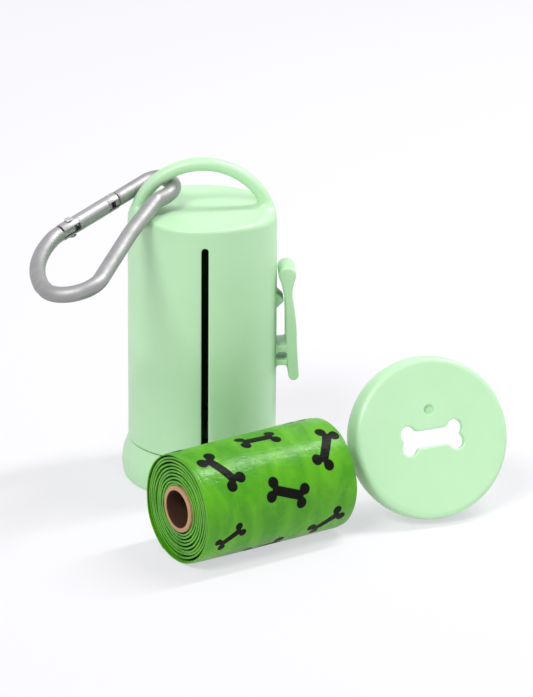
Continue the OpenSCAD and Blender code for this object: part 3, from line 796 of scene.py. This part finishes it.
def swept(path, r, sides=40, bevel=0.25):
    """Loops of a round bar along a flat path, its two ends broken by a small bevel."""
    tangent = np.gradient(path, axis=0)
    tangent /= norm(tangent, axis=1)[:, None]
    a = np.linspace(0, TAU, sides + 1)[:-1]

    def loop(p, t, radius):
        side = np.array((-t[1], t[0]))
        return np.stack([p[0] + side[0] * radius * np.cos(a), p[1] + side[1] * radius * np.cos(a),
                         radius * np.sin(a)], 1)

    def end_loops(at, inwards):
        return [loop(path[at] + inwards * tangent[at] * d, tangent[at], r - cut)
                for d, cut in ((0.0, bevel), (0.3 * bevel, 0.4 * bevel), (bevel, 0.0))]

    keep = [i for i in range(len(path))
            if min(norm(path[i] - path[end]) for end in (0, -1)) > bevel * 1.5]
    return end_loops(0, 1) + [loop(path[i], tangent[i], r) for i in keep] + end_loops(-1, -1)[::-1]


def prism(solid, outline, x0, x1, bevel, at=(0, 0)):
    """Bar along x with a convex section of (y, z) points, both ends bevelled."""
    outline = np.array(outline)
    middle = outline.mean(0)
    size = np.abs(outline - middle).max()
    loops = []
    for x, cut in ((x0, bevel), (x0 + bevel, 0), (x1 - bevel, 0), (x1, bevel)):
        loop = middle + (outline - middle) * (1 - cut / size)
        loops.append([(x, at[0] + p[0], at[1] + p[1]) for p in loop])
    solid.loft(loops)


def tongue(solid, x0, x1, round_end=False):
    """Flat tongue on an end of the bar, 3.1 mm high and 1.8 mm thick, its end x1 square or round."""
    half, thick, loops = 1.55, 0.9, []
    outline = [(x0, -half), (x1, -half), (x1, half), (x0, half)]
    if round_end:
        outline = [(x0, half), (x0, -half)] + arc((x1, 0), half, -90, 90, 16)
    for z, cut in ((-thick, 0.12), (-thick + 0.12, 0), (thick - 0.12, 0), (thick, 0.12)):
        middle = np.mean(outline, 0)
        loop = middle + (np.array(outline) - middle) * (1 - cut / half)
        loops.append([(p[0], GATE_Y + p[1], z) for p in loop])
    solid.loft(loops)


def hook_part(name, solid, material, body, node):
    mesh(name, solid, material, body, [node], place=HOOK_PLACE, weld=0)


def hook():
    bar = Solid().loft(swept(bar_path(), ROD_R))
    tongue(bar, GATE_X0 - SLIT - 0.8, RIVET_X, round_end=True)
    tongue(bar, LATCH_X + 0.75, GATE_X1 + SLIT + 0.8)
    tongue(bar, LATCH_X - 1.65, LATCH_X - 0.75)
    # bridge over the latch pin's notch, on the outer side
    prism(bar, [(0.75, -0.9), (1.55, -0.9), (1.55, 0.9), (0.75, 0.9)], LATCH_X - 1.6, GATE_X1 + 1.0,
          0.1, at=(GATE_Y, 0))
    hook_part("hook_bar_rod", bar, HOOK, "hook", "hook_bar")

    gate = Solid()
    x_in0, x_in1 = RIVET_X + 1.55 + 0.5, LATCH_X - 0.55 - 1.5      # the cheeks lie outside these
    path = np.array([(x, GATE_Y) for x in np.linspace(x_in0, x_in1, 24)])
    gate.loft(swept(path, GATE_R, 48, 0.02))
    for sign in (-1, 1):
        a = degrees(asin(1.05 / GATE_R))
        part = [(y, sign * z) for y, z in arc((0, 0), GATE_R, a, 180 - a, 20)]
        prism(gate, part, GATE_X0, x_in0 + 0.1, 0.25, at=(GATE_Y, 0))
        prism(gate, part, x_in1 - 0.1, GATE_X1, 0.25, at=(GATE_Y, 0))
    hook_part("hook_gate_rod", gate, GATE, "gate", "hook_gate")

    def pin(name, x, r, reach, head, node, body):
        profile = [(0, -reach - 0.3), (r * 0.8, -reach - 0.3), (head - 0.12, -reach - 0.22),
                   (head, -reach - 0.05), (head - 0.05, -reach), (r, -reach)]
        profile += [(radius, -z) for radius, z in profile[::-1]]
        solid = Solid().revolve(profile, 48)
        solid.points = [p + np.array((x, GATE_Y, 0)) for p in solid.points]
        hook_part(name, solid, STEEL, body, node)

    pin("gate_rivet_pin", RIVET_X, 0.75, GATE_R + 0.1, 1.2, "gate_rivet", "hook")
    pin("latch_cross_pin", LATCH_X, 0.55, GATE_R - 0.2, 0.56, "latch_pin", "gate")

    a = np.linspace(0, TAU, 33)[:-1]
    loops = [[(PLUNGER_X + x, GATE_Y + r * cos(t), r * sin(t)) for t in a]
             for x, r in ((0, 0.6), (0.3, 1.0), (0.6, 1.1), (2.4, 1.1))]
    hook_part("gate_plunger_pin", Solid().loft(loops), STEEL, "gate", "gate_plunger")


# ---- Geometry Nodes
class Geometry(Tree):
    """A Geometry Nodes tree with named inputs, run once on a new object."""

    def __init__(self, name, inputs):
        super().__init__(bpy.data.node_groups.new(name, "GeometryNodeTree"))
        socket = self.tree.interface.new_socket
        socket("Geometry", in_out="INPUT", socket_type="NodeSocketGeometry")
        self.values = {}
        for key, value in inputs.items():
            kind = "NodeSocketInt" if isinstance(value, int) else "NodeSocketFloat"
            self.values[socket(key, in_out="INPUT", socket_type=kind).identifier] = value
        socket("Geometry", in_out="OUTPUT", socket_type="NodeSocketGeometry")
        self.inputs = self.add("GroupInput", out=None).outputs

    def run(self, name, shape, material):
        """Ends the tree, evaluates it and returns a plain mesh."""
        shape = self.add("RealizeInstances", shape)
        shape = self.add("SetMaterial", shape, Material=material)
        self.add("GroupOutput", shape, out=None)
        carrier = new_object(name, bpy.data.meshes.new(name))
        modifier = carrier.modifiers.new("shape", "NODES")
        modifier.node_group = self.tree
        for identifier, value in self.values.items():
            modifier[identifier] = value
        return evaluated(carrier)


def helix(name, radius, wire, pitch, turns, sides=16, per_turn=64):
    """Closed coil along Z, made by Geometry Nodes: a spiral swept with a round section."""
    g = Geometry(name, {"Radius": radius * MM, "Height": pitch * turns * MM, "Turns": float(turns),
                        "Wire": wire * MM, "Steps": int(per_turn)})
    o = g.inputs
    curve = g.add("CurveSpiral", Resolution=o["Steps"], Rotations=o["Turns"], Start_Radius=o["Radius"],
                  End_Radius=o["Radius"], Height=o["Height"])
    section = g.add("CurvePrimitiveCircle", Resolution=sides, Radius=o["Wire"])
    shape = g.add("CurveToMesh", Curve=curve, Profile_Curve=section, Fill_Caps=True)
    return g, shape


def thread(name, radius, z0, body, place=Matrix()):
    """One-start round thread, sunk a little more than half into the wall that it stands on."""
    g, shape = helix(name + "_tree", radius, THREAD_WIRE, THREAD_PITCH, THREAD_H / THREAD_PITCH)
    data = g.run(name, shape, MINT)
    data.transform(Matrix.Translation((0, 0, z0 * MM)))
    data.transform(in_metres(place))
    finish_mesh(name, data, MINT, body, smooth=60)


def gate_spring():
    """Fine steel coil in the gate's bore."""
    x0, x1 = PLUNGER_X + 2.45, RIVET_X + 10 - 0.05
    g, shape = helix("spring_tree", 0.9, 0.19, (x1 - x0 - 0.4) / 6, 6, sides=12, per_turn=40)
    data = g.run("gate_coil_spring", shape, STEEL)
    start = Vector((x0 + 0.2, GATE_Y, 0)) * MM
    local = Matrix.Translation(start) @ Matrix.Rotation(pi / 2, 4, "Y")
    data.transform(in_metres(HOOK_PLACE) @ local)
    finish_mesh("gate_coil_spring", data, STEEL, "gate", ["gate_spring"], smooth=60)


# ---- roll of bags
ROLL_TURN = radians(31.7)
AXIS = np.array((cos(ROLL_TURN), sin(ROLL_TURN), 0))
UP = np.array((0, 0, 1.0))
BACK = np.array((-sin(ROLL_TURN), cos(ROLL_TURN), 0))
ROLL_AT = np.array((11.1, -50.7, ROLL_R))


def roll_point(along, angle, r):
    """Point of the roll; angle 0 is its top and grows towards the back."""
    return ROLL_AT + np.multiply.outer(along, AXIS) + (np.asarray(r) * np.cos(angle))[..., None] * UP \
        + (np.asarray(r) * np.sin(angle))[..., None] * BACK


def write_wrap(data, along_angle):
    """UV map 'wrap' in millimetres: along the roll, and round it at its outside."""
    uv = data.uv_layers.new(name="wrap").data
    for loop in data.loops:
        uv[loop.index].uv = along_angle[loop.vertex_index]


def film_turns():
    """The turns below the outer bag: one long strip wound in a spiral by Geometry Nodes."""
    g = Geometry("film_spiral", {
        "Inner radius": (CORE_R + 0.15) * MM, "Outer radius": 14.35 * MM, "Turns": 9.0,
        "Width": (ROLL_LEN - 1.0) * MM, "Around": 880, "Across": 5, "Waver": 0.35 * MM, "Seed": 4.0})
    o = g.inputs
    grid = g.add("MeshGrid", Size_X=1.0, Size_Y=1.0, Vertices_X=o["Around"], Vertices_Y=o["Across"])
    at = g.add("InputPosition")
    x, y = (g.add("SeparateXYZ", at, out=i) for i in (0, 1))
    t = g.add("Math ADD", x, 0.5)
    angle = g.add("Math MULTIPLY", g.add("Math MULTIPLY", t, o["Turns"]), TAU)
    # the strip lies a little unevenly, so its turns close up and open by turns
    wander = g.add("TexNoise", noise_dimensions="1D", W=g.add("Math MULTIPLY", angle, 0.55),
                   Scale=1.0, Detail=2.0)
    loose = g.add("Math MULTIPLY", g.add("Math SUBTRACT", wander, 0.5), 0.9 * MM)
    gap = g.add("Math SUBTRACT", o["Outer radius"], o["Inner radius"])
    radius = g.add("Math ADD", o["Inner radius"], g.add("Math MULTIPLY", gap, t))
    radius = g.add("Math ADD", radius, loose)
    # its edge wavers, at each end in its own way
    end = g.add("Math SIGN", y)
    spot = g.add("CombineXYZ", g.add("Math MULTIPLY", angle, 0.8), g.add("Math ADD", end, o["Seed"]))
    side = g.add("TexNoise", noise_dimensions="2D", Vector=spot, Scale=1.0, Detail=3.0)
    shift = g.add("Math MULTIPLY", g.add("Math SUBTRACT", side, 0.5),
                  g.add("Math MULTIPLY", o["Waver"], 2.0))
    along = g.add("Math ADD", g.add("Math MULTIPLY", y, o["Width"]), g.add("Math MULTIPLY", shift, end))
    across, up = (g.add("Math MULTIPLY", radius, g.add("Math " + wave, angle))
                  for wave in ("SINE", "COSINE"))
    place = g.add("CombineXYZ", across, along, up)
    shape = g.add("SetPosition", grid, Position=place)
    data = g.run("wound_film_turns", shape, FILM_PLAIN)
    ob = new_object("wound_film_turns", data)
    thick = ob.modifiers.new("film", "SOLIDIFY")
    thick.thickness, thick.offset = 0.5 * MM, 0
    solid = evaluated(ob)
    flat = np.array([v.co[:] for v in solid.vertices]) / MM
    angle = np.arctan2(flat[:, 0], flat[:, 2])
    r = np.hypot(flat[:, 0], flat[:, 2])
    points = roll_point(flat[:, 1], angle, r)
    for v, p in zip(solid.vertices, points):
        v.co = p * MM
    for layer in list(solid.uv_layers):
        solid.uv_layers.remove(layer)
    write_wrap(solid, list(zip(flat[:, 1], angle * ROLL_R)))
    face_outwards(solid)
    finish_mesh("wound_film_turns", solid, FILM_PLAIN, "roll", (), smooth=50)


def value_noise(u, v, seed, period=None):
    """Smooth noise on a lattice, from -1 to 1; period wraps u."""
    rng = np.random.default_rng(seed)
    table = rng.uniform(-1, 1, (64, 64))
    iu, iv = np.floor(u).astype(int), np.floor(v).astype(int)
    fu, fv = smoothstep(u - iu), smoothstep(v - iv)
    wrap = period or 64
    a, b = iu % wrap, (iu + 1) % wrap
    c, d = iv % 64, (iv + 1) % 64
    low = table[a, c] * (1 - fu) + table[b, c] * fu
    high = table[a, d] * (1 - fu) + table[b, d] * fu
    return low * (1 - fv) + high * fv


def outer_bag():
    """The outer bag: a sheet round the roll, its free edge lying a little proud, creased along
    its length and drawn in at both ends."""
    n, m = 260, 110          # points round the roll and along it
    start, sweep = radians(140), TAU * 1.04
    tt, vv = np.meshgrid(np.linspace(0, 1, n), np.linspace(-1, 1, m), indexing="ij")
    angle = start + sweep * tt
    along = vv * ROLL_LEN / 2
    base = 14.72 + 0.25 * tt
    base = base - 0.12 * smoothstep((-vv - 0.2) / 0.8)
    turn = angle / TAU
    crease = 0.10 * value_noise(turn * 9, vv * 1.6 + 3, 11, 9) \
        + 0.06 * value_noise(turn * 22, vv * 3 + 7, 5, 22)
    ridge = np.abs(value_noise(turn * 6 + 0.6 * vv, vv * 2.2, 23)) - 0.5
    crease += 0.06 * np.clip(ridge, -0.2, 0.4)
    edge = smoothstep((np.abs(vv) - 0.93) / 0.07)
    r = base + crease * (1 - 0.5 * edge) - 0.22 * edge
    along = along + 0.22 * value_noise(turn * 12, vv * 0 + 2, 31, 12) * np.abs(vv) ** 6
    out = roll_point(along, angle, r)
    inner = roll_point(along, angle, r - 0.3)
    out[..., 2] = np.maximum(out[..., 2], 0.02)      # pressed flat where it lies on the floor
    inner[..., 2] = np.maximum(inner[..., 2], 0.32)
    faces = []
    for a in (i * m + j for i in range(n - 1) for j in range(m - 1)):
        b = n * m + a
        faces += [(a, a + 1, a + m + 1, a + m), (b + m, b + m + 1, b + 1, b)]
    rim = [(i, 0) for i in range(n - 1)] + [(n - 1, j) for j in range(m - 1)] \
        + [(i, m - 1) for i in range(n - 1, 0, -1)] + [(0, j) for j in range(m - 1, 0, -1)]
    ids = [i * m + j for i, j in rim]
    for a, b in zip(ids, ids[1:] + ids[:1]):
        faces.append((a, b, b + n * m, a + n * m))
    points = np.vstack([out.reshape(-1, 3), inner.reshape(-1, 3)])
    data = bpy.data.meshes.new("outer_bag_film")
    data.from_pydata((points * MM).tolist(), [], faces)
    uv = data.uv_layers.new(name="wrap").data
    flat_angle, flat_along = np.tile(angle.ravel(), 2), np.tile(along.ravel(), 2)
    for poly in data.polygons:
        middle = np.mean([flat_angle[v] for v in poly.vertices])
        turns = (middle + pi) // TAU
        for loop in poly.loop_indices:
            v = data.loops[loop].vertex_index
            uv[loop].uv = (flat_along[v], (flat_angle[v] - turns * TAU) * ROLL_R)
    face_outwards(data)
    finish_mesh("outer_bag_film", data, FILM, "roll", ["wound_bags"], smooth=60)


def board_core():
    """Cardboard tube with softened rims."""
    bore_r = CORE_R - CORE_T
    profile = [(CORE_R, -23.1), (CORE_R, 23.1)] + arc((CORE_R - 0.3, 23.0), 0.3, 20, 90, 4) \
        + arc((bore_r + 0.3, 23.0), 0.3, 90, 160, 4) + [(bore_r, 22.8), (bore_r, -22.8)] \
        + arc((bore_r + 0.3, -23.0), 0.3, 200, 270, 4) + arc((CORE_R - 0.3, -23.0), 0.3, 270, 340, 4)
    steps = 96
    a = np.arange(steps) * TAU / steps
    loops = [roll_point(np.full(steps, z), a, np.full(steps, r)) for r, z in profile]
    solid = Solid().loft(loops, ring=True)
    ob = mesh("board_core_tube", solid, BOARD, "roll", ["roll_core"], weld=0)
    write_wrap(ob.data, [(z, t * r) for r, z in profile for t in a])
    # 1 on the bore, where the paper is painted darker as painted shade, and 0 on the rims and outside
    bore = ob.data.attributes.new("bore", "FLOAT", "POINT")
    bore.data.foreach_set("value", [float(r < bore_r + 0.2) for r, _ in profile for _ in a])


# ---- build
housing()
mesh("base_cap_fitted", cap_solid(), MINT, "fitted_cap", ["base_cap"], smooth=34)
LEAN, YAW, SPIN = (radians(a) for a in (19.5, 16.0, -2.5))
SPARE_Z = BELLY_X * cos(LEAN) + BELLY_Z * sin(LEAN) + BELLY_ARC
SPARE = Matrix.Translation((59.7, -34.8, SPARE_Z)) @ Matrix.Rotation(YAW, 4, "Z") \
    @ Matrix.Rotation(-pi / 2 - LEAN, 4, "X") @ Matrix.Rotation(pi + SPIN, 4, "Z")
mesh("base_cap_second", cap_solid(), MINT, "second_cap", ["loose_cap"], smooth=34,
     place=SPARE)
thread("neck_thread", NECK_R - 0.18, 4.6, "dispenser")
thread("base_cap_thread", CAP_BORE + 0.18, 4.2, "fitted_cap")
thread("second_cap_thread", CAP_BORE + 0.18, 4.2, "second_cap", SPARE)
clip()
webs()
hook()
gate_spring()
film_turns()
outer_bag()
board_core()

# ---- floor, light and camera
WHITE = linear("#fcfbff")
PAPER_GLOW, SKY = 0.584, 0.45     # the paper's own light as seen, and the grey that lights the pieces
LAMP_SIDE = Vector((cos(0.553), sin(0.553), 0))     # the softbox is longest along the roll's axis
FOCAL_PX, PICTURE_W, SENSOR = 4420.3, 533, 36.0     # of the photo's view, the sensor in mm


def seen_directly(m):
    """1 for camera, glossy and transmission rays, 0 for the light that the surfaces pass on."""
    path = m.add("LightPath", out=None).outputs
    total = path["Is Camera Ray"]
    for name in ("Is Glossy Ray", "Is Transmission Ray"):
        total = m.add("Math MAXIMUM", total, path[name])
    return total


def studio():
    floor = bpy.data.meshes.new("floor")
    floor.from_pydata([(-3, -3, 0), (3, -3, 0), (3, 3, 0), (-3, 3, 0)], [], [(0, 1, 2, 3)])
    ob = new_object("floor", floor)
    m = Nodes("matt_white_paper")
    direct = seen_directly(m)
    glow = m.add("Math MULTIPLY", direct, PAPER_GLOW)
    paper = m.add("Mix", direct, **RGBA, in6=linear("#efefef"), in7=linear("#9b9a9d"))
    m.principled(Base_Color=paper, Roughness=0.9, Specular_IOR_Level=0.0, Emission_Color=WHITE,
                 Emission_Strength=glow)
    floor.materials.append(m.material)

    world = bpy.data.worlds.new("studio")
    bpy.context.scene.world = world
    world.use_nodes = True
    sky = Tree(world.node_tree)
    colour = sky.add("Mix", seen_directly(sky), **RGBA, in6=(SKY, SKY, SKY, 1), in7=WHITE)
    background = sky.tree.nodes["Background"].inputs
    sky.put(background["Color"], colour)
    sky.put(background["Strength"], 1.0)

    def lamp(kind, name, at, to, power, size):
        light = bpy.data.lights.new(name, kind)
        light.energy = power
        if kind == "SUN":
            light.angle = radians(size)
        else:
            light.shape, light.size, light.size_y = "RECTANGLE", size[0], size[1]
        lamp_ob = new_object(name, light)
        lamp_ob.location = at
        away = (Vector(at) - Vector(to)).normalized()
        side = (LAMP_SIDE - away * away.dot(LAMP_SIDE)).normalized()
        lamp_ob.rotation_euler = Matrix((side, away.cross(side), away)).transposed().to_euler()

    lamp("SUN", "key", (-0.36, -0.58, 0.73), (0, 0, 0), 1.69, 20)
    lamp("AREA", "softbox", (0.40, 0.134, 0.69), (0.011, -0.05, 0.015), 3.9, (0.55, 0.07))


def camera():
    """The photo's own view: focal length and place were solved from the object's outlines."""
    data = bpy.data.cameras.new("photo_view")
    data.sensor_fit, data.sensor_width = "HORIZONTAL", SENSOR
    data.lens = FOCAL_PX * SENSOR / PICTURE_W
    data.clip_end = 20
    ob = new_object("photo_view", data)
    right = Vector((0.998769, -0.049155, 0.006598))
    up = Vector((0.010705, 0.343559, 0.93907))
    back = Vector((-0.048427, -0.937844, 0.343663))
    turn = Matrix((right, up, back)).transposed()
    ob.matrix_world = Matrix.Translation(Vector((-40.418, -1118.853, 445.536)) * MM) @ turn.to_4x4()
    bpy.context.scene.camera = ob


studio()
camera()
bpy.context.scene.view_settings.view_transform = "Standard"
